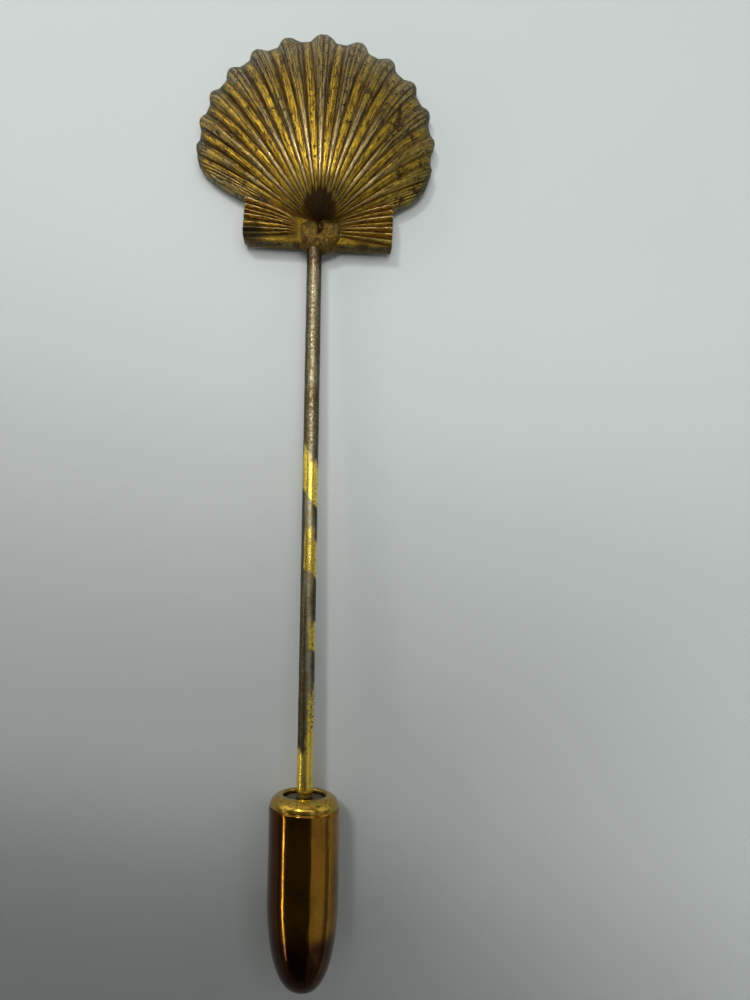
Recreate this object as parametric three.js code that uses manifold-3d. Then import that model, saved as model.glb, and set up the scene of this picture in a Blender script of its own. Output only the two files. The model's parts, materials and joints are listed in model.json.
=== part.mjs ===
// Hat pin: a cast scallop shell on a wire stem, with a slide-on bullet point guard.
// Millimetres, +Z up. The pin lies on its guard and on the far rim of the shell, as it does on a table.
// Every piece is first made in the stem's own frame: the stem's axis is the Y axis, the shell is on the
// +Y side of the origin, the guard on the -Y side, and +Z is the side of the shell that shows.
import * as THREE from "three";
import { mergeVertices } from "three/addons/utils/BufferGeometryUtils.js";
import Module from "manifold-3d";

const wasm = await Module();
wasm.setup();

// ---------- driving dimensions ----------

// stem wire
const stemDiameter = 1.1;
const stemExposed = 38.15; // from the head's lower edge to the guard's mouth
const stemBuried = 2.55; // length held inside the head
const needleDiameter = 0.6; // the reduced point that goes into the guard
const needleStep = 0.5; // length of the taper from the wire down to the needle
const needleStraight = 6.6;
const needlePoint = 2.6;

// shell
const shellWidth = 17.8; // across the rim, lobes included
const headHeight = 17.4; // from the head's lower edge to the top of the middle rib
const shellRise = 4.4; // top of the dome above the rim's front edge
const rimHeight = 0.05; // rim's front edge above the stem's axis
const backDepth = 0.7; // flat back below the stem's axis
const shellWall = 0.95;
const rimLand = 1.2; // width of the flat back rim round the hollow
const climbMiddle = 0.5; // how quickly the dome climbs from the beak along the middle rib
const climbFlank = 1.7; // and how much more slowly it climbs towards the flanks
const flankDrop = 1.2; // how quickly the ribs get lower towards the flanks
const beakOffset = 2.1; // from the head's lower edge to the point where the ribs meet
const beakSide = 0.27; // the ribs meet a little to one side of the stem
const rimSide = -0.38; // and the rim is centred a little to the other side
const shellTurn = THREE.MathUtils.degToRad(2.2); // the head sits turned on its stem

// ribs
const ribsEachSide = 6;
const ribStep = THREE.MathUtils.degToRad(9.75);
const ribSkew = THREE.MathUtils.degToRad(0.065);
const ribFirst = THREE.MathUtils.degToRad(-1.9);
const ribDepth = 0.42; // crest above groove at the rim
const ribShare = 0.32; // half the width of a main rib, as a share of the rib pitch
const lowRibHeight = 0.55; // of the ribs between, as a share of the main ribs' height
const ribSpread = 1.85; // how far the ribs spread apart as they climb the beak
const lobeDepth = 0.27; // half the swing of the scalloped edge at the top of the rim
const lobeLean = 0.16; // how far the lobes lean towards the flanks, as a share of the rib pitch
const rimFade = 0.65; // share of the ribs' relief that is lost at the rim
const flankWidth = 1.5; // plain flank past the last rib, counted in ribs
const flankFull = 0.6; // how much of it keeps the rim's full radius
const flankCut = 0.35; // how far its end is drawn in, as a share of that radius

// ears and hinge plate
const earSpan = 10.96;
const earOffCentre = 0.15;
const earLower = 0.53; // ears' lower edge above the head's lower edge
const earOuterHeight = 3.15;
const earCorner = 0.5;
const plateTop = 0.45; // front of the plain plate above the stem's axis
const earRidges = 6;
const earRidgeDepth = 0.26;
const earBend = 0.58; // 1 makes the ridges straight, less bows them upwards

// solder mound
const moundWidth = 3.5;
const moundLength = 2.6;
const moundTop = 1.2; // above the stem's axis
const moundSide = 0.4; // to the same side as the beak

// guard
const guardDiameter = 4.75;
const guardLength = 12.25;
const noseLength = 6;
const noseFullness = 0.69; // 1 makes the nose an ellipse, less makes its tip blunter
const guardWall = 0.35;
const lipDepth = 0.75;
const mouthDiameter = 2.85;
const creaseDepth = 0.06;
const lipRadius = 0.14; // inner edge of the rolled lip
const lipThickness = 0.45; // from the mouth to the lip's underside
const lipChamfer = 0.25; // under the lip, where it turns into the bore

// guard insert
const faceRecess = 0.3;
const countersinkDiameter = 1.13;
const countersinkDepth = 0.8;

// clearances
const runningGap = 0.03;
const jointGap = 0.03;

// ---------- worked out from the above ----------

const stemRadius = stemDiameter / 2;
const needleRadius = needleDiameter / 2;
const rimRadiusMean = shellWidth / 2 - lobeDepth / 2;
const rimCentre = headHeight - lobeDepth - rimRadiusMean - beakOffset; // rim circle's centre above the beak
const rimOffBeak = rimSide - beakSide;
const lastColumn = ribsEachSide + flankWidth;
const ridgeStart = new THREE.Vector2(0.9, earLower + 0.95); // where the ears' ridges meet, on either side
const guardRadius = guardDiameter / 2;
const mouthRadius = mouthDiameter / 2;
const boreRadius = guardRadius - guardWall;
const mouthY = -stemExposed;
const tipY = mouthY - guardLength;
const noseY = tipY + noseLength;
const roundSegments = 32;

// ---------- solids ----------

function solidFrom(geometry) {
  const bare = geometry.clone();
  bare.deleteAttribute("normal");
  bare.deleteAttribute("uv");
  const merged = mergeVertices(bare, 1e-5);
  const vertProperties = new Float32Array(merged.attributes.position.array);
  const triVerts = new Uint32Array(merged.index.array);
  return new wasm.Manifold(new wasm.Mesh({ numProp: 3, vertProperties, triVerts }));
}

function geometryFrom(solid) {
  const mesh = solid.getMesh();
  const geometry = new THREE.BufferGeometry();
  geometry.setAttribute("position", new THREE.BufferAttribute(new Float32Array(mesh.vertProperties), 3));
  geometry.setIndex(new THREE.BufferAttribute(new Uint32Array(mesh.triVerts), 1));
  return geometry;
}

function turnedRound(profile) {
  return new THREE.LatheGeometry(profile, roundSegments);
}

// A fan of columns that spread from one corner: its top is pointAt(column, t), its floor is flat.
function fanSolid(columns, rows, pointAt, floorZ) {
  const corner = pointAt(columns[0], 0);
  const positions = [corner.x, corner.y, corner.z, corner.x, corner.y, floorZ];
  const addPoint = (p) => positions.push(p.x, p.y, p.z) / 3 - 1;
  const faces = [];
  const addQuad = (a, b, c, d) => faces.push(a, b, c, a, c, d);
  const grid = columns.map((column) => rows.map((t) => addPoint(pointAt(column, t))));
  const feet = columns.map((column) => {
    const rim = pointAt(column, 1);
    return addPoint(new THREE.Vector3(rim.x, rim.y, floorZ));
  });
  const last = rows.length - 1;
  for (let j = 0; j + 1 < columns.length; j += 1) {
    faces.push(0, grid[j + 1][0], grid[j][0]);
    for (let i = 0; i < last; i += 1) {
      addQuad(grid[j][i], grid[j + 1][i], grid[j + 1][i + 1], grid[j][i + 1]);
    }
    addQuad(grid[j][last], grid[j + 1][last], feet[j + 1], feet[j]);
    faces.push(1, feet[j], feet[j + 1]);
  }
  const first = grid[0];
  const end = grid[columns.length - 1];
  faces.push(1, 0, first[0], 1, end[0], 0);
  for (let i = 0; i < last; i += 1) {
    faces.push(1, first[i], first[i + 1], 1, end[i + 1], end[i]);
  }
  faces.push(1, first[last], feet[0], 1, feet[columns.length - 1], end[last]);
  const geometry = new THREE.BufferGeometry();
  geometry.setAttribute("position", new THREE.Float32BufferAttribute(positions, 3));
  geometry.setIndex(faces);
  return solidFrom(geometry);
}

// ---------- shell surface ----------

// Columns are counted in ribs: whole numbers are the main ribs, halves are the low ribs between them.
const ribAngle = (k) => ribFirst + ribStep * k + ribSkew * k * k;

// Place across one rib pitch, from -0.5 to 0.5: near the rim the crests lean towards the flanks.
function placeOnRib(k, t) {
  const across = k - Math.round(k);
  const lean = lobeLean * Math.tanh(k) * THREE.MathUtils.smoothstep(t, 0.3, 1);
  return across - lean * (1 - (2 * across) ** 2);
}

// The rim: a circle about a centre above the beak, with a lobe at each main rib. Past the last rib it is
// plain, and is drawn in towards the ears.
function rimRadius(k) {
  const angle = ribAngle(k);
  const along = rimCentre * Math.cos(angle) + rimOffBeak * Math.sin(angle);
  const across = rimOffBeak * Math.cos(angle) - rimCentre * Math.sin(angle);
  const circle = along + Math.sqrt(rimRadiusMean ** 2 - across ** 2);
  const place = placeOnRib(k, 1);
  const wave = Math.abs(k) < ribsEachSide ? 1 - 2 * Math.abs(Math.sin(Math.PI * place)) ** 2.4 : 1;
  const lobe = lobeDepth * (0.3 + 0.7 * Math.cos(angle) ** 2) * wave;
  const past = Math.max(0, (Math.abs(k) - ribsEachSide - flankFull) / (flankWidth - flankFull));
  return circle * (1 - flankCut * past ** 2.5) + lobe;
}

// The smooth dome: it climbs steeply from the beak, and falls away towards the rim and the flanks.
function dome(k, t) {
  const angle = ribAngle(k);
  const fromBeak = t * rimRadius(k);
  const climbLength = climbMiddle + climbFlank * (1 - Math.cos(angle));
  const climb = 1 - Math.exp(-((fromBeak / climbLength) ** 0.9));
  const fall = Math.max(0, 1 - t ** 3) ** 0.9;
  const side = Math.max(0, Math.cos(flankDrop * angle));
  const x = beakSide + (fromBeak + ribSpread * climb * (1 - t)) * Math.sin(angle);
  const y = beakOffset + fromBeak * Math.cos(angle);
  return new THREE.Vector3(x, y, rimHeight + shellRise * side * climb * fall);
}

// Relief across one rib pitch: a broad main rib, a narrow groove and a lower rib halfway between.
function ribRelief(k, t) {
  if (Math.abs(k) > ribsEachSide + 0.5) {
    return 0.4;
  }
  const across = Math.abs(placeOnRib(k, t));
  const main = Math.max(0, 1 - (across / ribShare) ** 2);
  const beyond = Math.max(0, across - ribShare) / (0.5 - ribShare);
  const low = lowRibHeight * Math.sin((Math.PI / 2) * beyond);
  return main + low;
}

// The relief stands out from a point well below the dome, so that it also shows on the steep beak.
function ribbedDome(k, t) {
  const point = dome(k, t);
  const below = new THREE.Vector3(rimSide, beakOffset + rimCentre, -shellWidth);
  const outward = point.clone().sub(below).normalize();
  const depth = ribDepth * Math.min(1, 1.6 * t) * (1 - rimFade * THREE.MathUtils.smoothstep(t, 0.88, 1));
  return point.addScaledVector(outward, depth * (ribRelief(k, t) - 0.5));
}

// The hollow follows the smooth dome one wall inside it.
function hollow(k, t) {
  const point = dome(k, t);
  const middle = beakOffset + rimCentre;
  const inset = 1 - rimLand / rimRadiusMean;
  const x = rimSide + (point.x - rimSide) * inset;
  return new THREE.Vector3(x, middle + (point.y - middle) * inset, point.z - shellWall);
}

function stepped(count, power) {
  return Array.from({ length: count }, (_, i) => ((i + 1) / count) ** power);
}

function shellColumns() {
  const columns = [];
  const offsets = [-0.42, -ribShare, -0.22, -0.11, 0, 0.11, 0.22, ribShare, 0.42, 0.5];
  const flank = [0.7, 0.9, 1.1, 1.25, 1.38, flankWidth];
  flank.toReversed().forEach((step) => columns.push(-ribsEachSide - step));
  columns.push(-ribsEachSide - 0.5);
  for (let k = -ribsEachSide; k <= ribsEachSide; k += 1) {
    offsets.forEach((offset) => columns.push(k + offset));
  }
  flank.forEach((step) => columns.push(ribsEachSide + step));
  return columns;
}

function shellDome() {
  return fanSolid(shellColumns(), stepped(22, 1.35), ribbedDome, -backDepth);
}

// The hollow's solid reaches a little below the flat back, so that it cuts right through.
function shellHollow() {
  const half = 2 * ribsEachSide + 2;
  const columns = Array.from({ length: 2 * half + 1 }, (_, i) => (i / half - 1) * lastColumn);
  return fanSolid(columns, stepped(12, 1.2), hollow, -backDepth - 1);
}

// ---------- ears ----------

function hingePlate() {
  const left = earOffCentre - earSpan / 2;
  const right = earOffCentre + earSpan / 2;
  const top = earLower + earOuterHeight;
  const inner = beakOffset + 0.6;
  const outline = new THREE.Shape();
  outline.moveTo(left + earCorner, earLower);
  outline.lineTo(right, earLower);
  outline.lineTo(right, top);
  outline.lineTo(1.2, inner);
  outline.lineTo(-1.2, inner);
  outline.lineTo(left, top);
  outline.lineTo(left, earLower + earCorner);
  outline.absarc(left + earCorner, earLower + earCorner, earCorner, Math.PI, 1.5 * Math.PI, false);
  const thickness = plateTop + backDepth;
  const settings = { depth: thickness, bevelEnabled: false, curveSegments: 6 };
  const slab = new THREE.ExtrudeGeometry(outline, settings);
  slab.translate(0, 0, -backDepth);
  return solidFrom(slab);
}

// Ridges that spread over one ear from the hinge, side -1 for the left ear and +1 for the right.
function earFan(side) {
  const outerX = Math.abs(earOffCentre + (side * earSpan) / 2);
  const reach = outerX - ridgeStart.x;
  const lowest = earLower + earCorner * 0.7 - ridgeStart.y;
  const highest = earLower + earOuterHeight - ridgeStart.y;
  const count = earRidges * 4;
  const columns = Array.from({ length: count + 1 }, (_, i) => (side < 0 ? i : count - i));
  const pointAt = (i, t) => {
    const share = i / count;
    const y = ridgeStart.y + t ** earBend * THREE.MathUtils.lerp(lowest, highest, share);
    const ridge = 0.5 - 0.5 * Math.cos(2 * Math.PI * earRidges * share);
    return new THREE.Vector3(side * (ridgeStart.x + t * reach), y, plateTop + t * earRidgeDepth * ridge);
  };
  return fanSolid(columns, stepped(6, 1), pointAt, -backDepth);
}

// ---------- stem ----------

function stemGeometry() {
  const needleTop = mouthY - needleStep;
  const needleEnd = needleTop - needleStraight;
  const profile = [
    new THREE.Vector2(0, needleEnd - needlePoint),
    new THREE.Vector2(needleRadius * 0.62, needleEnd - needlePoint * 0.45), // the point is slightly full
    new THREE.Vector2(needleRadius, needleEnd),
    new THREE.Vector2(needleRadius, needleTop),
    new THREE.Vector2(stemRadius, mouthY),
    new THREE.Vector2(stemRadius, stemBuried),
    new THREE.Vector2(0, stemBuried),
  ];
  return turnedRound(profile);
}

// ---------- guard ----------

// Points of a quarter ellipse about (centreR, centreY), from one angle to another.
function arcPoints(centreR, centreY, radiusR, radiusY, from, to, count) {
  const points = [];
  for (let i = 0; i <= count; i += 1) {
    const angle = from + ((to - from) * i) / count;
    const r = centreR + radiusR * Math.cos(angle);
    points.push(new THREE.Vector2(r, centreY + radiusY * Math.sin(angle)));
  }
  return points;
}

// Points of the nose from the tip up: radius * (1 - s^2) ^ (fullness / 2) at a share s of its length.
function nosePoints(radius, length, count) {
  return Array.from({ length: count + 1 }, (_, i) => {
    const angle = (Math.PI / 2) * (1 - i / count) ** 1.25;
    const r = i === 0 ? 0 : radius * Math.cos(angle) ** noseFullness;
    return new THREE.Vector2(r, noseY - length * Math.sin(angle));
  });
}

function casingGeometry() {
  const shoulderY = mouthY - lipDepth;
  const lipUnder = mouthY - lipThickness;
  const nose = nosePoints(guardRadius, noseLength, 12);
  const crease = [
    new THREE.Vector2(guardRadius, shoulderY - creaseDepth * 2),
    new THREE.Vector2(guardRadius - creaseDepth, shoulderY),
  ];
  const lipWidth = guardRadius - creaseDepth - mouthRadius - lipRadius;
  const lip = arcPoints(mouthRadius + lipRadius, shoulderY, lipWidth, lipDepth, 0, Math.PI / 2, 6);
  const innerY = mouthY - lipRadius;
  const inner = arcPoints(mouthRadius + lipRadius, innerY, lipRadius, lipRadius, 0.75 * Math.PI, Math.PI, 2);
  const seat = [
    new THREE.Vector2(mouthRadius, lipUnder),
    new THREE.Vector2(boreRadius, lipUnder - lipChamfer),
  ];
  const cavity = nosePoints(boreRadius, noseLength - guardWall, 8).toReversed();
  return turnedRound([...nose, ...crease, ...lip, ...inner, ...seat, ...cavity, nose[0].clone()]);
}

function insertGeometry() {
  const faceY = mouthY - faceRecess;
  const holeRadius = needleRadius + runningGap;
  const bodyRadius = boreRadius - runningGap;
  const faceRadius = mouthRadius - runningGap;
  const seatY = mouthY - lipThickness - runningGap;
  const backY = noseY + runningGap;
  const profile = [
    new THREE.Vector2(holeRadius, backY),
    new THREE.Vector2(bodyRadius, backY),
    new THREE.Vector2(bodyRadius, seatY - lipChamfer),
    new THREE.Vector2(faceRadius, seatY),
    new THREE.Vector2(faceRadius, faceY),
    new THREE.Vector2(countersinkDiameter / 2, faceY),
    new THREE.Vector2(holeRadius, faceY - countersinkDepth),
    new THREE.Vector2(holeRadius, backY),
  ];
  return turnedRound(profile);
}

// ---------- head ----------

function placedOnStem(geometry) {
  return geometry.rotateZ(-shellTurn);
}

function stemSeat() {
  const profile = [
    new THREE.Vector2(0, -2),
    new THREE.Vector2(stemRadius + jointGap, -2),
    new THREE.Vector2(stemRadius + jointGap, stemBuried + jointGap),
    new THREE.Vector2(0, stemBuried + jointGap),
  ];
  const slot = new THREE.BoxGeometry(stemRadius * 1.5, beakOffset + 1, 1);
  slot.translate(0, (beakOffset - 1) / 2, 0.5 + stemRadius / 2);
  return solidFrom(turnedRound(profile)).add(solidFrom(slot));
}

function headSolid() {
  const cast = shellDome().add(hingePlate()).add(earFan(-1)).add(earFan(1)).subtract(shellHollow());
  return solidFrom(placedOnStem(geometryFrom(cast))).subtract(stemSeat());
}

// A lump of solder over the stem's end: the upper part of an ellipsoid, cut to the head and the stem.
function moundSolid(head) {
  const lump = new THREE.SphereGeometry(1, 24, 12);
  lump.scale(moundWidth / 2, moundLength / 2, moundTop - stemRadius);
  lump.translate(moundSide, moundLength / 2, stemRadius);
  const floor = new THREE.BoxGeometry(moundWidth * 2, moundLength * 4, 2);
  floor.translate(0, 0, stemRadius + jointGap - 1);
  const shifted = geometryFrom(head).translate(0, -jointGap, jointGap);
  return solidFrom(lump).subtract(solidFrom(floor)).subtract(solidFrom(shifted)).subtract(head);
}

// ---------- materials ----------

function metal(color, roughness) {
  return new THREE.MeshStandardMaterial({ color, roughness, metalness: 1 });
}

const giltMaterial = metal(0x8a6a2c, 0.42);
const solderMaterial = metal(0x8b7333, 0.6);
const wireMaterial = metal(0x9a8f7c, 0.38);
const brassMaterial = metal(0x6f5a34, 0.3);
const nylonMaterial = new THREE.MeshStandardMaterial({ color: 0x9a9a96, roughness: 0.55, metalness: 0 });

// ---------- assembly ----------

const head = headSolid();
const pieces = [
  ["shell_head", geometryFrom(head), giltMaterial],
  ["solder_mound", geometryFrom(moundSolid(head)), solderMaterial],
  ["stem", stemGeometry(), wireMaterial],
  ["guard_insert", insertGeometry(), nylonMaterial],
  ["guard_casing", casingGeometry(), brassMaterial],
];

const pin = new THREE.Group();
pieces.forEach(([name, geometry, material]) => {
  geometry.computeVertexNormals();
  const mesh = new THREE.Mesh(geometry, material);
  mesh.name = name;
  pin.add(mesh);
});

// Lay the pin down: the guard's mouth end and the shell's far rim both touch the table.
const farRim = beakOffset + rimRadius(0);
const guardFront = mouthY - lipDepth;
const lieAngle = Math.atan2(guardRadius - backDepth, farRim - guardFront);
pin.rotation.x = -lieAngle;

// The origin is under the middle of the whole pin, on the table.
pin.updateMatrixWorld(true);
const extent = new THREE.Box3().setFromObject(pin, true);
const middle = extent.getCenter(new THREE.Vector3());
pin.position.set(-middle.x, -middle.y, -extent.min.z);

const hatPin = new THREE.Group();
hatPin.add(pin);

export default hatPin;
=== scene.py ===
"""Hat pin: a cast scallop shell on a wire stem with a slide-on point guard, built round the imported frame.

Shapes are worked out in millimetres in the pin's own frame: the stem's axis is Y, the shell is on the
+Y side of the origin, the guard on the -Y side, and +Z is the side of the shell that shows. on_pin()
then lays the points down, in metres, where the frame has the pin.
"""

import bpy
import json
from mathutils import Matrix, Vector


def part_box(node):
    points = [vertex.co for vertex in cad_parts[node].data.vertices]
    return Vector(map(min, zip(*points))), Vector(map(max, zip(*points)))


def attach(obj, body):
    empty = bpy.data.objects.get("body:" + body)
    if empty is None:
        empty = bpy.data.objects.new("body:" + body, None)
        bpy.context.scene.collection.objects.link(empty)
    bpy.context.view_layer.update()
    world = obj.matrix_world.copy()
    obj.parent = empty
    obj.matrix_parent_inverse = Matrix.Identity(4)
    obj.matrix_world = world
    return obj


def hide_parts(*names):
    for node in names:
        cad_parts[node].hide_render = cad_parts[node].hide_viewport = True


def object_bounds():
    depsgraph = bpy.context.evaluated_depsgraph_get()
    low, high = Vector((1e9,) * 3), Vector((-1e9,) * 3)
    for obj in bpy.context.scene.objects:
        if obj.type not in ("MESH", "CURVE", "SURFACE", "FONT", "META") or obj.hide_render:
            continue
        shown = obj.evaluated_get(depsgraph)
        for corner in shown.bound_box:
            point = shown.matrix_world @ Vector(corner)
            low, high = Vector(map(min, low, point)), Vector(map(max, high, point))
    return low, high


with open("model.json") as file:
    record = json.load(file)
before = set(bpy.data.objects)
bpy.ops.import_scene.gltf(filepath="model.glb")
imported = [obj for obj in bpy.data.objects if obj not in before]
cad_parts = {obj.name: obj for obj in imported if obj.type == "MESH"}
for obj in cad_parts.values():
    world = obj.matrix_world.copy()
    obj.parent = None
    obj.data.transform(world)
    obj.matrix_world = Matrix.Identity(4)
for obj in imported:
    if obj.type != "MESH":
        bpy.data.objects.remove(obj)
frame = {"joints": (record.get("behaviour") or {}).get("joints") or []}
CAD_BOX = [list(corner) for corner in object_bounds()]

import json
import math
from types import SimpleNamespace

import bmesh
import bpy
import numpy as np
from mathutils import Matrix, Vector

bl_info = {
    "name": "Shell Hat Pin",
    "version": (1, 0, 0),
    "blender": (4, 5, 0),
    "location": "3D View > Sidebar > Hat Pin",
    "description": "Builds a cast shell hat pin, its point guard and a plain stage",
    "category": "Add Mesh",
}

# ---------- places taken from the frame ----------

MM = 0.001
WELD = 1.5e-7  # metres between points that are made one
TURN = next(joint for joint in frame["joints"] if joint["name"] == "guard_turn")
MOUTH = np.array(TURN["pos_m"])  # middle of the guard's mouth, on the stem's axis
UP_STEM = -np.array(TURN["axis"]) / np.linalg.norm(TURN["axis"])
SIDEWAYS = np.array((1.0, 0.0, 0.0))
FACING = np.cross(SIDEWAYS, UP_STEM)


def width_of(node):
    """Width of a round CAD node across the pin, in millimetres."""
    low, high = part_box(node)
    return (high.x - low.x) / MM


def length(name, description, default):
    """A length property, with its default given in millimetres."""
    return bpy.props.FloatProperty(
        name=name, description=description, default=default * MM, min=0.0, precision=5, subtype="DISTANCE",
        unit="LENGTH",
    )


def colour(name, description, default):
    """A colour property, linear."""
    return bpy.props.FloatVectorProperty(
        name=name, description=description, default=default, size=3, min=0.0, max=1.0, subtype="COLOR"
    )


class HatPinSizes(bpy.types.PropertyGroup):
    """Sizes of the pin's pieces."""

    shell_width: length("Shell width", "Across the rim, lobes included", 17.8)
    head_height: length("Head height", "From the head's lower edge to the top of the middle rib", 17.4)
    shell_rise: length("Shell rise", "Top of the dome above the rim's front edge", 4.4)
    shell_wall: length("Shell wall", "Thickness of the cast metal", 0.95)
    back_depth: length("Back depth", "Flat back below the stem's axis", 0.7)
    rib_depth: length("Rib depth", "Crest above groove at the rim", 0.42)
    lobe_depth: length("Lobe depth", "Half the swing of the scalloped edge", 0.27)
    strand_depth: length("Strand depth", "Fine lines along the ribs, top to bottom", 0.08)
    ear_span: length("Ear span", "Across both ears", 10.96)
    plate_top: length("Plate top", "Front of the hinge plate above the stem's axis", 0.45)
    mound_width: length("Solder width", "Lump of solder over the stem's end", 3.8)
    stem_diameter: length("Stem diameter", "Round wire", width_of("stem"))
    stem_exposed: length("Stem exposed", "From the head's lower edge to the guard's mouth", 38.15)
    guard_diameter: length("Guard diameter", "Outside of the brass casing", width_of("guard_casing"))
    guard_length: length("Guard length", "From the mouth to the tip", 12.25)
    mouth_diameter: length("Mouth diameter", "Opening inside the rolled lip", 2.85)


class HatPinColours(bpy.types.PropertyGroup):
    """Colours of the pin's finishes and of the stage."""

    gilt: colour("Gilt", "Rich gold left in the channels", (0.82, 0.52, 0.055))
    # Worn crest: metal rubbed bare, and also the colour of the painted highlight on the crests above the
    # beak and on the ear ridges
    worn_and_highlight: colour("Worn crest", "Metal rubbed bare along the ribs", (0.98, 0.75, 0.38))
    dulled: colour("Dulled metal", "Grey brown on the lobes", (0.20, 0.142, 0.046))
    olive: colour("Olive tarnish", "Dull side of the shell", (0.29, 0.20, 0.020))
    # Umber and grime below also paint shade round the beak; grime also paints shade in the solder's groove,
    # on the wire's top end and round the insert's needle hole
    umber: colour("Umber", "Red brown on the sides of the ribs", (0.10, 0.044, 0.011))
    soot: colour("Grime", "Dark brown in the grooves", (0.022, 0.010, 0.003))
    verdigris: colour("Verdigris", "Grey green along the edges", (0.055, 0.064, 0.034))
    nickel: colour("Nickel", "Bare wire of the stem", (0.35, 0.33, 0.225))
    brass: colour("Brass", "Polished guard", (0.36, 0.165, 0.015))
    # Insert colour, darkened as painted shade inside the guard's mouth
    shaded_nylon: colour("Nylon", "Guard insert", (0.055, 0.046, 0.036))
    floor: colour("Floor", "Pale table top", (0.60, 0.645, 0.652))


# ---------- proportions of the pieces, in millimetres and radians ----------

RIM_HEIGHT = 0.05  # rim's front edge above the stem's axis
RIM_LAND = 1.2  # flat rim round the hollow back
CLIMB_MIDDLE, CLIMB_FLANK = 0.5, 1.7  # how slowly the dome climbs from the beak
FLANK_DROP = 1.2  # how quickly it gets lower towards the flanks
BEAK_Y, BEAK_X = 2.1, 0.27  # where the ribs meet
RIM_X = -0.38  # the rim's centre is to the other side
HEAD_TURN = math.radians(2.2)
RIBS = 6  # main ribs on each side of the middle one
RIB_STEP, RIB_SKEW, RIB_FIRST = math.radians(9.75), math.radians(0.065), math.radians(-1.9)
RIB_SPREAD = 1.85  # how far the ribs spread apart as they climb the beak
LOW_RIB = 0.55  # height of the low ribs, as a share of the main ones'
FLANK, FLANK_FULL, FLANK_CUT = 1.5, 0.6, 0.35  # plain flank in ribs, its full part, and its end drawn in
LAST = RIBS + FLANK
LOBE_LEAN, RIM_FADE = 0.16, 0.65  # lean of the lobes in ribs, and relief lost at the rim
STRANDS = 6  # fine lines to a rib
SHALLOW_SIDE = 0.35  # relief lost on the right flank, which is worn
GROWTH_LINES, GROWTH_DEPTH = 85, 0.016  # waves from beak to rim, as an angle, on the flanks
RUB_HIGHLIGHT_PLACE, RUB_HIGHLIGHT_LENGTH, RUB_HIGHLIGHT_WIDTH = 0.22, 0.16, 0.42  # rubbed part with its painted highlight, in shares of a crest's length and width
BEAK_SHADE_INNER, BEAK_SHADE_OUTER = 0.055, 0.073  # edge of the painted shade at the beak, in shares of the way to the rim

EAR_SIDE, EAR_LOW, EAR_HEIGHT = 0.15, 0.53, 3.15  # the plate's middle and lower edge, and its end's height
EAR_CORNER = 0.5  # radius of the rounded lower left corner
EAR_RIDGES, EAR_RIDGE_DEPTH, EAR_BEND = 6.5, 0.42, 0.58  # a bend of 1 would make them straight
EAR_ROUNDING, HINGE_FLAT = 0.16, 1.2  # rounded top edge, and half the plain middle under the solder
RIDGE_X, RIDGE_Y = 0.9, EAR_LOW + 0.95  # where an ear's ridges meet

MOUND_X, MOUND_LENGTH, MOUND_TOP, MOUND_BASE = 0.4, 2.6, 1.12, -0.1
STEM_BURIED = 2.5  # length held inside the head
NEEDLE_DIAMETER, NEEDLE_STEP, NEEDLE_STRAIGHT, NEEDLE_POINT = 0.6, 0.5, 6.6, 2.6
GUARD_WALL, LIP_DEPTH, LIP_THICKNESS, LIP_RADIUS, LIP_CHAMFER = 0.35, 0.75, 0.45, 0.14, 0.25
NOSE_LENGTH, NOSE_FULLNESS, CREASE = 6.0, 0.69, 0.06
FACE_RECESS, COUNTERSINK, COUNTERSINK_DEPTH = 0.3, 1.13, 0.8
GAP = 0.03  # between the insert and the casing, and round the needle


def sizes_in_mm(context):
    """The sizes as plain numbers in millimetres, with the few that follow from them."""
    group = context.scene.hat_pin_sizes
    s = SimpleNamespace(**{key: getattr(group, key) / MM for key in HatPinSizes.__annotations__})
    s.rim_radius = s.shell_width / 2 - s.lobe_depth / 2
    s.rim_centre = s.head_height - s.lobe_depth - s.rim_radius - BEAK_Y
    return s


# ---------- points, grids and meshes ----------


def on_pin(s, xyz):
    """Points x, y, z of the pin's frame in mm, laid down in metres: mouth + x sideways + (y + exposed) up
    + z facing."""
    x, y, z = np.moveaxis(xyz, -1, 0)[..., None]
    return MOUTH + MM * (x * SIDEWAYS + (y + s.stem_exposed) * UP_STEM + z * FACING)


def turned_head(xyz):
    """The head sits turned on its stem: x and y are turned clockwise about the origin."""
    x, y, z = np.moveaxis(xyz, -1, 0)
    c, n = math.cos(HEAD_TURN), math.sin(HEAD_TURN)
    return np.stack((x * c + y * n, y * c - x * n, z), -1)


def smooth(low, high, value):
    """0 below low, 1 above high, and 3u^2 - 2u^3 between."""
    u = np.clip((value - low) / (high - low), 0.0, 1.0)
    return u * u * (3 - 2 * u)


def mottle(seed, octaves, *where):
    """Smooth noise of about -1..1: six sine waves of random direction and phase to an octave, each octave
    twice as fine and half as high as the one before."""
    rng = np.random.default_rng(seed)
    total = 0.0
    for octave in range(octaves):
        for _ in range(6):
            turn = rng.normal(size=len(where))
            turn *= 2**octave * rng.uniform(0.7, 1.4) / np.linalg.norm(turn)
            phase = rng.uniform(0, 2 * math.pi)
            total = total + np.sin(sum(a * w for a, w in zip(turn, where)) + phase) * 0.5**octave
    return total / 3.2


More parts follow.
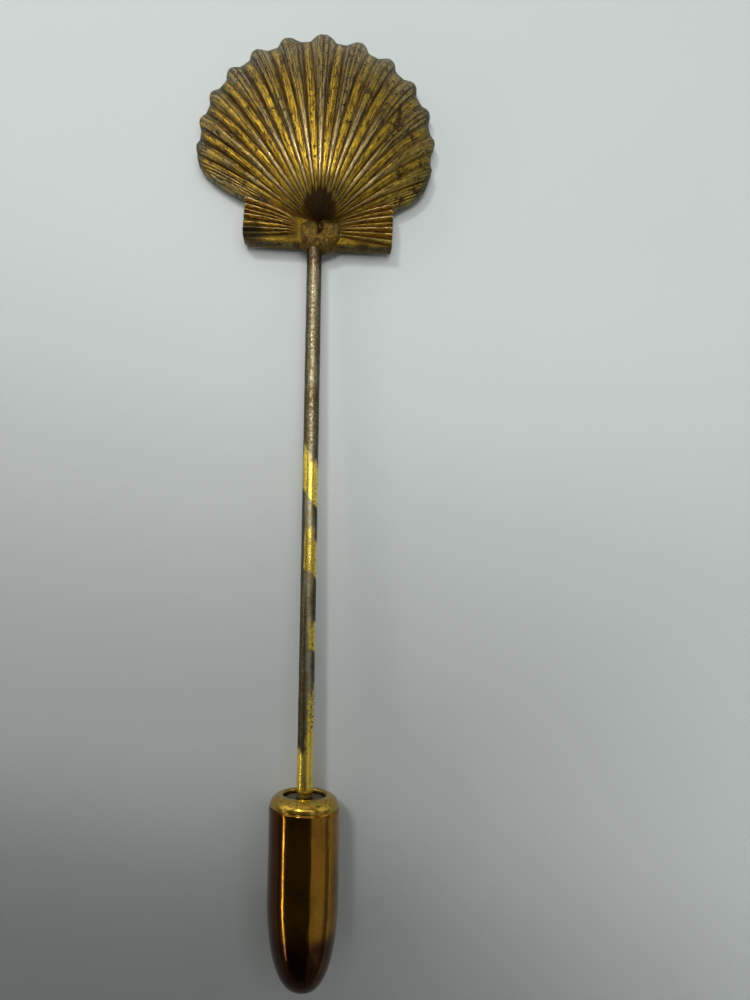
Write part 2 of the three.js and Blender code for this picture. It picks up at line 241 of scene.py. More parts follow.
class Patchwork:
    """Gathers grids of points with named values, and welds them into one closed mesh."""

    def __init__(self, names):
        self.points, self.quads, self.count = [], [], 0
        self.values = {name: [] for name in names}

    def add(self, xyz, **values):
        """xyz is a grid of points, and each value is one number or a grid of them."""
        rows, columns = xyz.shape[:2]
        index = np.arange(rows * columns).reshape(rows, columns) + self.count
        corners = (index[:-1, :-1], index[1:, :-1], index[1:, 1:], index[:-1, 1:])
        self.quads.append(np.stack(corners, -1).reshape(-1, 4))
        self.points.append(xyz.reshape(-1, 3))
        self.count += rows * columns
        for name, gathered in self.values.items():
            value = np.broadcast_to(values.get(name, 0.0), (rows, columns))
            gathered.append(value.reshape(-1))

    def mesh(self, s, name, material):
        """The welded mesh as an object, with its faces outwards and its values as point attributes."""
        mesh = bpy.data.meshes.new(name)
        points = on_pin(s, np.concatenate(self.points))
        quads = np.concatenate(self.quads)
        mesh.vertices.add(len(points))
        mesh.vertices.foreach_set("co", points.astype(np.float32).ravel())
        mesh.loops.add(quads.size)
        mesh.loops.foreach_set("vertex_index", quads.astype(np.int32).ravel())
        mesh.polygons.add(len(quads))
        mesh.polygons.foreach_set("loop_start", np.arange(0, quads.size, 4, dtype=np.int32))
        for key, gathered in self.values.items():
            layer = mesh.attributes.new(key, "FLOAT", "POINT")
            layer.data.foreach_set("value", np.concatenate(gathered).astype(np.float32))
        mesh.update(calc_edges=True)
        work = bmesh.new()
        work.from_mesh(mesh)
        bmesh.ops.remove_doubles(work, verts=work.verts, dist=WELD)
        bmesh.ops.dissolve_degenerate(work, edges=work.edges, dist=1e-8)
        bmesh.ops.recalc_face_normals(work, faces=work.faces)
        open_edges = sum(not edge.is_manifold for edge in work.edges)
        if open_edges:
            raise RuntimeError(f"{name} isn't closed: {open_edges} open edges")
        work.to_mesh(mesh)
        work.free()
        mesh.polygons.foreach_set("use_smooth", np.ones(len(mesh.polygons), bool))
        mesh.materials.append(material)
        obj = bpy.data.objects.new(name, mesh)
        bpy.context.scene.collection.objects.link(obj)
        return obj


def revolved(profile, segments):
    """A profile of (radius, y) rows carried round the stem's axis, x = r cos a and z = r sin a, and the
    angles a."""
    turn = np.linspace(0, 2 * math.pi, segments + 1)
    turn[-1] = 0.0
    radius, y = profile[:, :1], profile[:, 1:]
    grid = np.stack((radius * np.cos(turn), y + 0 * turn, radius * np.sin(turn)), -1)
    return grid, turn


def arc(centre, radii, start, end, count):
    """Points of an ellipse's arc as (radius, y) rows: centre + radii * (cos, sin)."""
    a = np.radians(np.linspace(start, end, count))
    return np.stack((centre[0] + radii[0] * np.cos(a), centre[1] + radii[1] * np.sin(a)), -1)


def nose(radius, length, nose_y, count):
    """The nose from the tip up as (radius, y) rows: radius (1 - s^2)^(fullness / 2) at a share s of its
    length, with the rows closer together at the tip."""
    a = np.pi / 2 * (1 - np.arange(count) / (count - 1)) ** 1.3
    across = radius * np.abs(np.cos(a)) ** NOSE_FULLNESS
    across[0] = 0.0
    return np.stack((across, nose_y - length * np.sin(a)), -1)


def line(start, end, count):
    """Evenly spaced (radius, y) rows from start to end."""
    share = np.linspace(0, 1, count)[:, None]
    return np.array(start) * (1 - share) + np.array(end) * share


# ---------- shell ----------


def rib_angle(k):
    """Direction of column k, counted in ribs from the middle one: first + step k + skew k^2."""
    return RIB_FIRST + RIB_STEP * k + RIB_SKEW * k * k


def place_on_rib(k, t):
    """Place across one rib pitch, -0.5 to 0.5: near the rim the crests lean towards the flanks."""
    across = k - np.round(k)
    return across - LOBE_LEAN * np.tanh(k) * smooth(0.3, 1, t) * (1 - (2 * across) ** 2)


def rim_radius(s, k):
    """From the beak to the rim along column k: a circle about a centre above the beak, plus a lobe at each
    main rib, and drawn in along the plain flanks."""
    a = rib_angle(k)
    off = RIM_X - BEAK_X
    along = s.rim_centre * np.cos(a) + off * np.sin(a)
    across = off * np.cos(a) - s.rim_centre * np.sin(a)
    circle = along + np.sqrt(s.rim_radius**2 - across**2)
    wave = 1 - 2 * np.abs(np.sin(np.pi * place_on_rib(k, 1.0))) ** 2.4
    wave = np.where(np.abs(k) < RIBS, wave, 1.0)
    lobe = s.lobe_depth * (0.3 + 0.7 * np.cos(a) ** 2) * wave
    past = np.maximum(0, (np.abs(k) - RIBS - FLANK_FULL) / (FLANK - FLANK_FULL))
    return circle * (1 - FLANK_CUT * past**2.5) + lobe


def dome(s, k, t):
    """The smooth dome. With r = t rim(k), it climbs as 1 - exp(-(r / climb)^0.9), falls to the rim as
    (1 - t^3)^0.9 and gets lower towards the flanks as cos(drop a)."""
    a = rib_angle(k)
    r = t * rim_radius(s, k)
    climb = 1 - np.exp(-((r / (CLIMB_MIDDLE + CLIMB_FLANK * (1 - np.cos(a)))) ** 0.9))
    fall = np.maximum(0, 1 - t**3) ** 0.9
    side = np.maximum(0, np.cos(FLANK_DROP * a))
    x = BEAK_X + (r + RIB_SPREAD * climb * (1 - t)) * np.sin(a)
    y = BEAK_Y + r * np.cos(a)
    return np.stack((x, y, RIM_HEIGHT + s.shell_rise * side * climb * fall), -1)


def rib_share(t):
    """Half width of a main rib, as a share of the pitch: narrow at the beak, broad at the rim."""
    return 0.2 + 0.15 * smooth(0.25, 0.95, t)


def rib_relief(k, t):
    """Height across one pitch: a main rib 1 - (across / share)^2, a groove, and a low rib halfway."""
    across, share = np.abs(place_on_rib(k, t)), rib_share(t)
    main = np.maximum(0, 1 - (across / share) ** 2) ** 0.8
    low = LOW_RIB * np.sin(np.pi / 2 * np.maximum(0, across - share) / (0.5 - share)) ** 0.8
    plain = smooth(RIBS + 0.45, RIBS + 0.62, np.abs(k))
    return (main + low) * (1 - plain) + 0.4 * plain


def strands(k, t):
    """Fine lines that run along the ribs: sine waves of several pitches and random strength."""
    rng = np.random.default_rng(21)
    total = 0.0
    for pitch in (STRANDS - 1.3, STRANDS, STRANDS + 0.9):
        slip, drift = rng.uniform(0, 6.3), rng.uniform(-0.5, 0.5)
        strength = 0.6 + 0.4 * mottle(int(pitch * 10), 2, 1.7 * k, 5.0 * t)
        total = total + strength * np.sin(2 * np.pi * pitch * k + slip + drift * t)
    return total / 2.2


def outward(s, xyz):
    """Direction away from a point well below the dome, which the relief stands out along."""
    away = xyz - np.array((RIM_X, BEAK_Y + s.rim_centre, -s.shell_width))
    return away / np.linalg.norm(away, axis=-1, keepdims=True)


def cast_front(s, k, t):
    """The dome with its ribs, its fine lines, growth lines across the flanks, and the unevenness of a
    casting, all stood out along outward()."""
    xyz = dome(s, k, t)
    depth = s.rib_depth * np.minimum(1, 1.6 * t) * (1 - RIM_FADE * smooth(0.88, 1.0, t))
    depth = depth * (1 - SHALLOW_SIDE * smooth(0.15, 0.6, rib_angle(k)) * smooth(0.3, 0.6, t))
    edge = 1 - smooth(0.985, 1.0, t)
    fine = s.strand_depth * smooth(0.16, 0.6, t) * strands(k, t) * (0.35 + 0.65 * edge)
    uneven = 0.03 * mottle(5, 3, 2.3 * k, 14 * t) * smooth(0.05, 0.3, t) * edge
    growth = np.sin(GROWTH_LINES * t + 2.5 * mottle(6, 2, 1.1 * k, 3 * t))
    growth = growth * smooth(2.0, 5.5, np.abs(k - 0.8)) * edge
    uneven = uneven + GROWTH_DEPTH * growth * smooth(0.3, 0.6, t)
    lift = depth * (rib_relief(k, t) - 0.5) + fine * 0.5 + uneven
    return xyz + outward(s, xyz) * lift[..., None]


def towards_rim_centre(s, xyz, share, z):
    """Points drawn in towards the rim's centre, at height z."""
    middle = np.array((RIM_X, BEAK_Y + s.rim_centre))
    plan = middle + (xyz[..., :2] - middle) * (1 - share)[..., None]
    return np.concatenate((plan, (z + 0 * share)[..., None]), -1)


def hollow(s, k, t):
    """The hollow back: the smooth dome one wall inside it, cut off at the flat back."""
    xyz = dome(s, k, t)
    inset = np.full(xyz.shape[:-1], RIM_LAND / s.rim_radius)
    return towards_rim_centre(s, xyz, inset, np.maximum(xyz[..., 2] - s.shell_wall, -s.back_depth))


SHELL_VALUES = (
    "rib_line", "reach", "lobe", "channel", "groove", "rub", "soot", "dull", "edge", "rear", "strand"
)


def shell_values(k, t):
    """Where each finish lies on the front of the shell, from 0 to 1: lobe on the crests towards the rim,
    channel between the main ribs, groove on their sides, rubbed metal with a painted highlight on the
    crests above the beak, painted shade round the beak, dull on the right side and the top, edge at the
    rim."""
    across, share = np.abs(place_on_rib(k, t)), rib_share(t)
    ribbed = 1 - smooth(RIBS + 0.42, RIBS + 0.6, np.abs(k))
    crest = (1 - smooth(share * 0.35, share * 1.0, across)) * ribbed
    channel = smooth(share * 1.0, share + 0.07, across) * ribbed
    groove = np.exp(-(((across - share - 0.02) / 0.06) ** 2)) * ribbed
    a = rib_angle(k)
    # Rubbed crests above the beak, with a painted highlight in the same band
    rub = np.exp(-(((t - RUB_HIGHLIGHT_PLACE - 0.05 * np.abs(a)) / RUB_HIGHLIGHT_LENGTH) ** 2)) * np.exp(-((a / 1.05) ** 4))
    rub = 1.1 * rub * np.exp(-((across / (RUB_HIGHLIGHT_WIDTH * share)) ** 2)) * ribbed
    # Painted shade on the beak's steep face, which faces away from the lights
    soot = 1 - smooth(BEAK_SHADE_INNER, BEAK_SHADE_OUTER, t + 0.007 * mottle(7, 3, 4 * k))
    soot = soot * np.exp(-(a**6))
    right = smooth(0.05, 0.6, a + 0.25 * mottle(9, 2, 1.5 * k, 4 * t))
    dull = right * smooth(0.25, 0.6, t + 0.1 * mottle(3, 2, 1.3 * k, 5 * t))
    dull = np.maximum(dull, 0.5 * smooth(0.55, 0.9, t) * np.exp(-((a / 0.55) ** 4)))
    grown = smooth(0.45, 0.9, t) * (1 - 0.65 * smooth(0.25, 0.8, -a))
    return dict(rib_line=k, reach=t, lobe=crest * grown, channel=channel, groove=groove, rub=rub, soot=soot,
                dull=dull, edge=smooth(0.91, 0.985, t), strand=strands(k, t) * smooth(0.16, 0.6, t))


def shell_patches(s):
    """The shell as a closed skin: the ribbed front, a band round the edge and back, and the hollow."""
    columns, rows, coarse = 450, 105, 3
    k = np.linspace(-LAST, LAST, columns + 1)
    t = (np.arange(rows + 1) / rows) ** 1.2
    work = Patchwork(SHELL_VALUES)
    kk, tt = np.meshgrid(k, t, indexing="ij")
    work.add(turned_head(cast_front(s, kk, tt)), **shell_values(kk, tt))

    snap_k = np.repeat(k[::coarse], coarse)[1:columns + 2]
    snap_t = np.repeat(t[::coarse], coarse)[1:rows + 2]
    full = np.ones(rows + 1)
    loop_k = np.concatenate((k, LAST * full, -LAST * full))
    loop_t = np.concatenate((np.ones(columns + 1), t[::-1], t))
    snapped_k = np.concatenate((snap_k, LAST * full, -LAST * full))
    snapped_t = np.concatenate((np.ones(columns + 1), snap_t[::-1], snap_t))
    front = cast_front(s, loop_k, loop_t)
    steps = [front]
    for share, drop in ((0.0, 0.35), (0.0, 0.7), (0.002, 0.9), (0.012, 1.0)):
        height = front[:, 2] * (1 - drop) - s.back_depth * drop
        steps.append(towards_rim_centre(s, front, share + 0 * loop_k, height))
    back = hollow(s, snapped_k, snapped_t)
    land = back.copy()
    land[:, 2] = -s.back_depth
    steps += [land, back]
    band = np.stack(steps, 0)
    rear = np.linspace(0.0, 1.0, len(steps))[:, None] ** 2
    work.add(turned_head(band), rib_line=loop_k, reach=loop_t, edge=0.7, rear=rear)
    kk, tt = np.meshgrid(k[::coarse], t[::coarse], indexing="ij")
    work.add(turned_head(hollow(s, kk, tt)), rib_line=kk, reach=tt, rear=1.0)
    return work


# ---------- ears ----------


def ear_patches(s):
    """The hinge plate with both ears: a grid across the plate, whose height is the plate's plus ridges that
    fan out from the hinge, (0.5 - 0.5 cos(2 pi n share))^1.2, and grow with the distance from it. Straight
    walls go down to the flat back. The lower left corner is dark."""
    columns, rows = 260, 90
    left, right = EAR_SIDE - s.ear_span / 2, EAR_SIDE + s.ear_span / 2
    u, v = np.meshgrid(np.linspace(0, 1, columns + 1), np.linspace(0, 1, rows + 1), indexing="ij")
    x = left + u * (right - left)
    ear_end = np.where(x < 0, -left, right)
    past = np.clip((np.abs(x) - HINGE_FLAT) / (ear_end - HINGE_FLAT), 0, 1)
    round_left = np.maximum(0, EAR_CORNER - (x - left))
    low = EAR_LOW + EAR_CORNER - np.sqrt(EAR_CORNER**2 - round_left**2)
    high = BEAK_Y + 0.6 + past * (EAR_LOW + EAR_HEIGHT - BEAK_Y - 0.6)
    y = low + v * (high - low)
    t = np.clip((np.abs(x) - RIDGE_X) / (ear_end - RIDGE_X), 1e-3, 1)
    lowest = EAR_LOW + EAR_CORNER * 0.3 - RIDGE_Y
    highest = EAR_LOW + EAR_HEIGHT - RIDGE_Y
    share = ((y - RIDGE_Y) / t**EAR_BEND - lowest) / (highest - lowest)
    share = share + 0.016 * np.sin(11 * share + np.sign(x)) + 0.008 * mottle(33, 2, 9 * share, 2 * t)
    inside = smooth(-0.12, 0.0, share) * (1 - smooth(1.0, 1.1, share))
    ridge = (0.5 - 0.5 * np.cos(2 * np.pi * EAR_RIDGES * np.clip(share, 0, 1))) ** 1.2 * inside
    ridge = ridge * (0.82 + 0.18 * np.sin(17 * share + 2 * np.sign(x)))
    grown = smooth(0.04, 0.3, t)
    fine = 0.02 * mottle(31, 3, 40 * share, 2.5 * t) * grown
    rough = 0.025 * mottle(32, 3, 2.6 * x, 2.6 * y)
    z = s.plate_top + EAR_RIDGE_DEPTH * grown * ridge * (0.55 + 0.45 * t) + fine + rough
    border = np.minimum(np.minimum(x - left, right - x), np.minimum(y - low, 0.5))
    z -= EAR_ROUNDING * (1 - np.sqrt(1 - (1 - np.clip(border / EAR_ROUNDING, 0, 1)) ** 2))
    top = np.stack((x, y, z), -1)
    corner = 1 - smooth(0.7, 1.4, y - low + 0.2 * mottle(36, 3, 3 * x, 3 * y))
    corner = np.exp(-(((x - left) / 1.6) ** 4)) * corner
    plain = (1 - inside * grown) * np.clip(0.35 + 0.5 * mottle(35, 3, 2.2 * x, 2.2 * y), 0, 0.9)
    groove = np.maximum(1 - 2.4 * ridge, 0) * grown * inside + plain
    work = Patchwork(SHELL_VALUES)
    # The ridge tops get rubbed metal with a painted highlight
    work.add(turned_head(top), rib_line=share * EAR_RIDGES, reach=t, channel=1.0, groove=groove,
             rub=1.1 * ridge**4 * grown, dull=0.35 * (x > 0), edge=0.6 * corner, soot=0.95 * corner)
    loop = np.concatenate((top[:, 0], top[-1, 1:], top[-2::-1, -1], top[0, -2::-1]))
    walls = [loop]
    for drop in (0.3, 0.65, 1.0):
        wall = loop.copy()
        wall[:, 2] = loop[:, 2] * (1 - drop) - s.back_depth * drop
        walls.append(wall)
    along = np.arange(len(loop))
    down = np.linspace(0, 1, len(walls))[:, None]
    groove = np.clip(0.95 + 0.5 * mottle(34, 3, 0.09 * along), 0, 1)
    soot = 0.9 * (1 - smooth(0.8, 1.8, loop[:, 0] - left))
    work.add(turned_head(np.stack(walls, 0)), rib_line=0.02 * along, reach=0.3 * down, lobe=0.4,
             channel=0.3, dull=0.2, groove=groove, soot=soot, rear=down**3)
    under = top.copy()
    under[..., 2] = -s.back_depth
    work.add(turned_head(under), rear=1.0)
    return work


# ---------- solder ----------

MOUND_VALUES = ("grime", "edge")


def mound_patches(s):
    """The lump of solder: an uneven low dome, height (1 - rho^3.2)^0.8, on a rounded oblong, parted by a
    groove above the stem and covered in grains, with a flat underside inside the plate."""
    turns, rings = 180, 60
    a, rho = np.meshgrid(np.linspace(0, 2 * np.pi, turns + 1), np.linspace(0, 1, rings + 1), indexing="ij")
    a[-1] = a[0]
    wobble = (1 + 0.05 * mottle(41, 3, 3 * np.cos(a), 3 * np.sin(a))) * (1 + 0.07 * np.cos(4 * a + np.pi))
    x = MOUND_X + s.mound_width / 2 * wobble * rho * np.cos(a)
    y = MOUND_LENGTH / 2 + MOUND_LENGTH / 2 * rho * np.sin(a) * (1 - 0.1 * np.cos(2 * a))
    height = np.maximum(0, 1 - rho**3.2) ** 0.8
    groove = np.exp(-(((x - 0.35 - 0.08 * np.sin(5 * y)) / 0.17) ** 2)) * smooth(0.7, 1.5, y)
    hump = 0.84 - 0.34 * groove + 0.13 * mottle(43, 2, 1.8 * x, 1.8 * y)
    grains = 0.065 * mottle(44, 4, 5.5 * x, 5.5 * y, 3.0 * rho) * (1 - rho**8)
    z = MOUND_BASE + (MOUND_TOP - MOUND_BASE) * height * hump + grains
    top = np.stack((x, y, z), -1)
    work = Patchwork(MOUND_VALUES)
    # The groove's dark is painted shade in the crease between the two humps
    work.add(top, grime=np.clip(groove * 1.1, 0, 1), edge=smooth(0.8, 1.0, rho))
    middle, share = np.array((MOUND_X, MOUND_LENGTH / 2, 0)), rho[:, ::6, None]
    under = top[:, -1:] * share + middle * (1 - share)
    under[..., 2] = top[:, -1:, 2]
    work.add(under, edge=1.0)
    return work


# ---------- stem ----------

STEM_VALUES = ("gilt", "speck", "brown", "shade", "flank")
# Gilding left on the wire: upper end, lower end, how far round it starts (-1 left to 1 right), slant and
# speckle
GILT_PATCHES = (
    (-15.3, -18.2, -0.9, 0.9, 0.35),
    (-20.6, -23.3, -0.55, 0.6, 0.45),
    (-26.5, -28.4, 0.05, 0.5, 0.5),
    (-31.8, -34.8, 0.1, -0.6, 0.75),
    (-34.9, -44.0, -1.2, -0.9, 0.15),
)
BROWN_SPOTS = ((-11.2, 1.6), (-0.6, 1.3))  # y, and how far each reaches along the wire
DENT = 0.006  # unevenness of the wire


def stem_patches(s):
    """The wire with its reduced needle, a revolved profile. Its gilt is left in patches with slanting ends,
    brown in two spots, and its flanks and the left of its lower half are darkened with painted shade."""
    radius, needle = s.stem_diameter / 2, NEEDLE_DIAMETER / 2
    mouth = -s.stem_exposed
    step, straight = mouth - NEEDLE_STEP, mouth - NEEDLE_STEP - NEEDLE_STRAIGHT
    profile = np.concatenate((
        line((0, STEM_BURIED), (radius - 0.06, STEM_BURIED), 3),
        line((radius, STEM_BURIED - 0.06), (radius, mouth), 260),
        line((needle, step), (needle, straight), 30),
        arc((0, straight), (needle, NEEDLE_POINT), 0, -90, 10),
    ))
    grid, turn = revolved(profile, 64)
    x, y, z = np.moveaxis(grid, -1, 0)
    away = np.hypot(x, z)
    body = smooth(0.45, 0.54, away)
    dents = DENT * mottle(51, 4, 3 * y, 2.2 * np.cos(turn), 2.2 * np.sin(turn)) * body
    swell = 1 + (dents - DENT) / np.maximum(away, 0.1)
    grid[..., 0] *= swell
    grid[..., 2] *= swell
    side = np.cos(turn) + 0 * y
    gilt, speck = 0 * y, 0 * y
    for upper, lower, start, slant, speckle in GILT_PATCHES:
        ragged = 0.12 * mottle(int(-upper * 10), 3, 3 * y, 3 * side)
        along = y + slant * side * 0.8
        here = smooth(lower - 0.06, lower + 0.06, along + ragged * 0.5)
        here = here * (1 - smooth(upper - 0.25, upper + 0.35, along + ragged * 3))
        here = here * smooth(start - 0.12, start + 0.12, side + 0.4 * ragged)
        gilt = np.maximum(gilt, here)
        speck = np.where(here > 0.1, speckle, speck)
    brown = smooth(-0.35, 0.5, mottle(57, 3, 0.55 * y, 1.2 * side))
    brown = brown * 0.7
    for middle, spread in BROWN_SPOTS:
        brown = np.maximum(brown, np.exp(-(((y - middle) / spread) ** 2)))
    # Painted shade on the wire's flanks, and on the left of its lower half
    flank = smooth(0.34, 0.78, np.abs(side + 0.06 * mottle(58, 3, 2 * y, 2 * side))) * 0.85
    flank = np.maximum(flank, smooth(-0.05, 0.35, -side) * smooth(-22.0, -27.0, y) * 0.8)
    work = Patchwork(STEM_VALUES)
    work.add(grid, gilt=gilt, speck=speck, brown=brown, shade=smooth(-1.6, 0.3, y), flank=flank)
    return work


# ---------- guard ----------

GUARD_VALUES = ("lip", "nose", "inside", "round_x")
NOSE_SHADE_FROM, NOSE_SHADE_FULL = 7.2, 9.8  # below the mouth, where the nose gets darker with painted shade
RIPPLE = 0.008  # unevenness of the brass


def casing_patches(s):
    """The brass casing, a revolved profile: ogive nose, straight side, crease, rolled lip and thin inside.
    Its values say where the lip, the nose's painted shade and the inside are, and round_x is -1 left to 1
    right."""
    radius, mouth, lip_r = s.guard_diameter / 2, -s.stem_exposed, s.mouth_diameter / 2
    nose_y = mouth - s.guard_length + NOSE_LENGTH
    shoulder, bore = mouth - LIP_DEPTH, radius - GUARD_WALL
    lip_width = radius - CREASE - lip_r - LIP_RADIUS
    under = mouth - LIP_THICKNESS
    inside = np.concatenate((
        line((lip_r, under), (bore, under - LIP_CHAMFER), 3),
        nose(bore, NOSE_LENGTH - GUARD_WALL, nose_y, 20)[::-1],
    ))
    profile = np.concatenate((
        nose(radius, NOSE_LENGTH, nose_y, 70),
        line((radius, nose_y), (radius, shoulder - 0.16), 24)[1:],
        line((radius - 0.012, shoulder - 0.08), (radius - CREASE * 1.4, shoulder - 0.01), 3),
        line((radius - CREASE * 1.4, shoulder + 0.02), (radius - CREASE * 0.8, shoulder + 0.06), 2),
        arc((lip_r + LIP_RADIUS, shoulder), (lip_width, LIP_DEPTH), 8, 90, 26),
        arc((lip_r + LIP_RADIUS, mouth - LIP_RADIUS), (LIP_RADIUS, LIP_RADIUS), 110, 180, 8),
        inside,
    ))
    grid, turn = revolved(profile, 160)
    y, away = grid[..., 1], np.hypot(grid[..., 0], grid[..., 2])
    row = np.arange(len(profile))[:, None] + 0 * turn
    inner = row >= len(profile) - len(inside)
    ripple = RIPPLE * mottle(61, 3, 1.3 * y, 2.2 * np.cos(turn), 2.2 * np.sin(turn)) * ~inner
    ripple *= smooth(0.0, 0.8, away)
    shrink = 1 + (ripple - RIPPLE * ~inner) / np.maximum(away, 0.2)
    grid[..., 0] *= shrink
    grid[..., 2] *= shrink
    work = Patchwork(GUARD_VALUES)
    lip = smooth(shoulder - 0.02, shoulder + 0.06, y) * ~inner
    # Painted shade that darkens the nose
    nose_shade = 1 - smooth(mouth - NOSE_SHADE_FULL, mouth - NOSE_SHADE_FROM, y)
    work.add(grid, lip=lip, nose=nose_shade, inside=inner, round_x=np.cos(turn) + 0 * y)
    return work


def insert_patches(s):
    """The nylon insert, a revolved profile: recessed face, countersunk needle hole and round body."""
    radius, mouth, lip_r = s.guard_diameter / 2, -s.stem_exposed, s.mouth_diameter / 2
    nose_y = mouth - s.guard_length + NOSE_LENGTH
    hole, body, face = NEEDLE_DIAMETER / 2 + GAP, radius - GUARD_WALL - GAP, lip_r - GAP
    face_y, seat, back = mouth - FACE_RECESS, mouth - LIP_THICKNESS - GAP, nose_y + GAP
    profile = np.concatenate((
        line((hole, back), (body, back), 8),
        line((body, back), (body, seat - LIP_CHAMFER), 12)[1:],
        line((body, seat - LIP_CHAMFER), (face, seat), 3)[1:],
        line((face, seat), (face, face_y - 0.04), 2)[1:],
        line((face - 0.04, face_y), (COUNTERSINK / 2 + 0.02, face_y), 10),
        line((COUNTERSINK / 2, face_y - 0.03), (hole, face_y - COUNTERSINK_DEPTH), 5),
        line((hole, face_y - COUNTERSINK_DEPTH), (hole, back), 10)[1:],
    ))
    grid, _ = revolved(profile, 96)
    y, away = grid[..., 1], np.hypot(grid[..., 0], grid[..., 2])
    on_face = (np.abs(y - face_y) < 0.01) * smooth(face, face - 0.1, away)
    grid[..., 1] += 0.02 * on_face * mottle(71, 3, 3 * grid[..., 0], 3 * grid[..., 2])
    work = Patchwork(("hole",))
    work.add(grid, hole=1 - smooth(hole, COUNTERSINK / 2 + 0.1, away))
    return work


# ---------- finishes ----------


class Recipe:
    """A node material, with short ways to add its nodes."""

    def __init__(self, name):
        self.material = bpy.data.materials.new(name)
        self.material.use_nodes = True
        self.tree = self.material.node_tree
        self.tree.nodes.clear()
        self.shader = self.tree.nodes.new("ShaderNodeBsdfPrincipled")
        output = self.tree.nodes.new("ShaderNodeOutputMaterial")
        self.tree.links.new(self.shader.outputs[0], output.inputs["Surface"])
        coordinates = self.tree.nodes.new("ShaderNodeTexCoord")
        self.place = coordinates.outputs["Object"]

    def put(self, socket, value):
        """Links an output to a socket, or sets the socket to a plain value."""
        if isinstance(value, bpy.types.NodeSocket):
            self.tree.links.new(value, socket)
        elif hasattr(value, "__len__") and len(value) == 3 and len(socket.default_value) == 4:
            socket.default_value = (*value, 1.0)
        else:
            socket.default_value = value

    def node(self, kind, inputs=(), **settings):
        """A node with its settings, and its inputs given by name or number."""
        made = self.tree.nodes.new(kind)
        for key, value in settings.items():
            setattr(made, key, value)
        for key, value in dict(inputs).items():
            self.put(made.inputs[key], value)
        return made

    def value(self, name):
        """The number that the piece's mesh holds under that name."""
        return self.node("ShaderNodeAttribute", attribute_name=name).outputs["Fac"]

    def math(self, operation, a, b=0.0):
        return self.node("ShaderNodeMath", {0: a, 1: b}, operation=operation).outputs[0]

    def times(self, a, b):
        return self.math("MULTIPLY", a, b)

    def less(self, a):
        """1 - a."""
        return self.math("SUBTRACT", 1.0, a)

    def either(self, a, b):
        """The greater of the two."""
        return self.math("MAXIMUM", a, b)

    def step(self, value, low, high, start=0.0, end=1.0):
        """start below low, end above high, and a smooth step between."""
        inputs = {0: value, 1: low, 2: high, 3: start, 4: end}
        return self.node("ShaderNodeMapRange", inputs, interpolation_type="SMOOTHSTEP").outputs[0]

    def noise(self, scale, detail=3.0, vector=None, roughness=0.55):
        """Noise of about that many blotches to a millimetre."""
        inputs = {"Vector": vector or self.place, "Detail": detail, "Roughness": roughness}
        inputs["Scale"] = scale / MM if vector is None else scale
        return self.node("ShaderNodeTexNoise", inputs).outputs["Fac"]

    def vector(self, x, y, z=0.0):
        return self.node("ShaderNodeCombineXYZ", {0: x, 1: y, 2: z}).outputs[0]

    def stretched(self, *scale):
        """The place on the piece with x, y and z scaled apart, so that noise on it is drawn out."""
        return self.node("ShaderNodeMapping", {"Vector": self.place, "Scale": scale}).outputs[0]

    def mix(self, factor, a, b):
        """The colour a at factor 0 and b at 1."""
        made = self.node("ShaderNodeMix", {0: factor, 6: a, 7: b}, data_type="RGBA")
        return made.outputs[2]

    def blend(self, factor, a, b):
        """The number a at factor 0 and b at 1."""
        made = self.node("ShaderNodeMix", {0: factor, 2: a, 3: b}, data_type="FLOAT")
        return made.outputs[0]

    def relief(self, *layers):
        """Bumps one over another, each a height and how far it stands out in millimetres."""
        normal = None
        for height, depth in layers:
            inputs = {"Height": height, "Distance": depth * MM, "Strength": 1.0}
            if normal is not None:
                inputs["Normal"] = normal
            normal = self.node("ShaderNodeBump", inputs).outputs[0]
        self.put(self.shader.inputs["Normal"], normal)

    def finish(self, base, metal, rough):
        for name, value in (("Base Color", base), ("Metallic", metal), ("Roughness", rough)):
            self.put(self.shader.inputs[name], value)
        return self.material


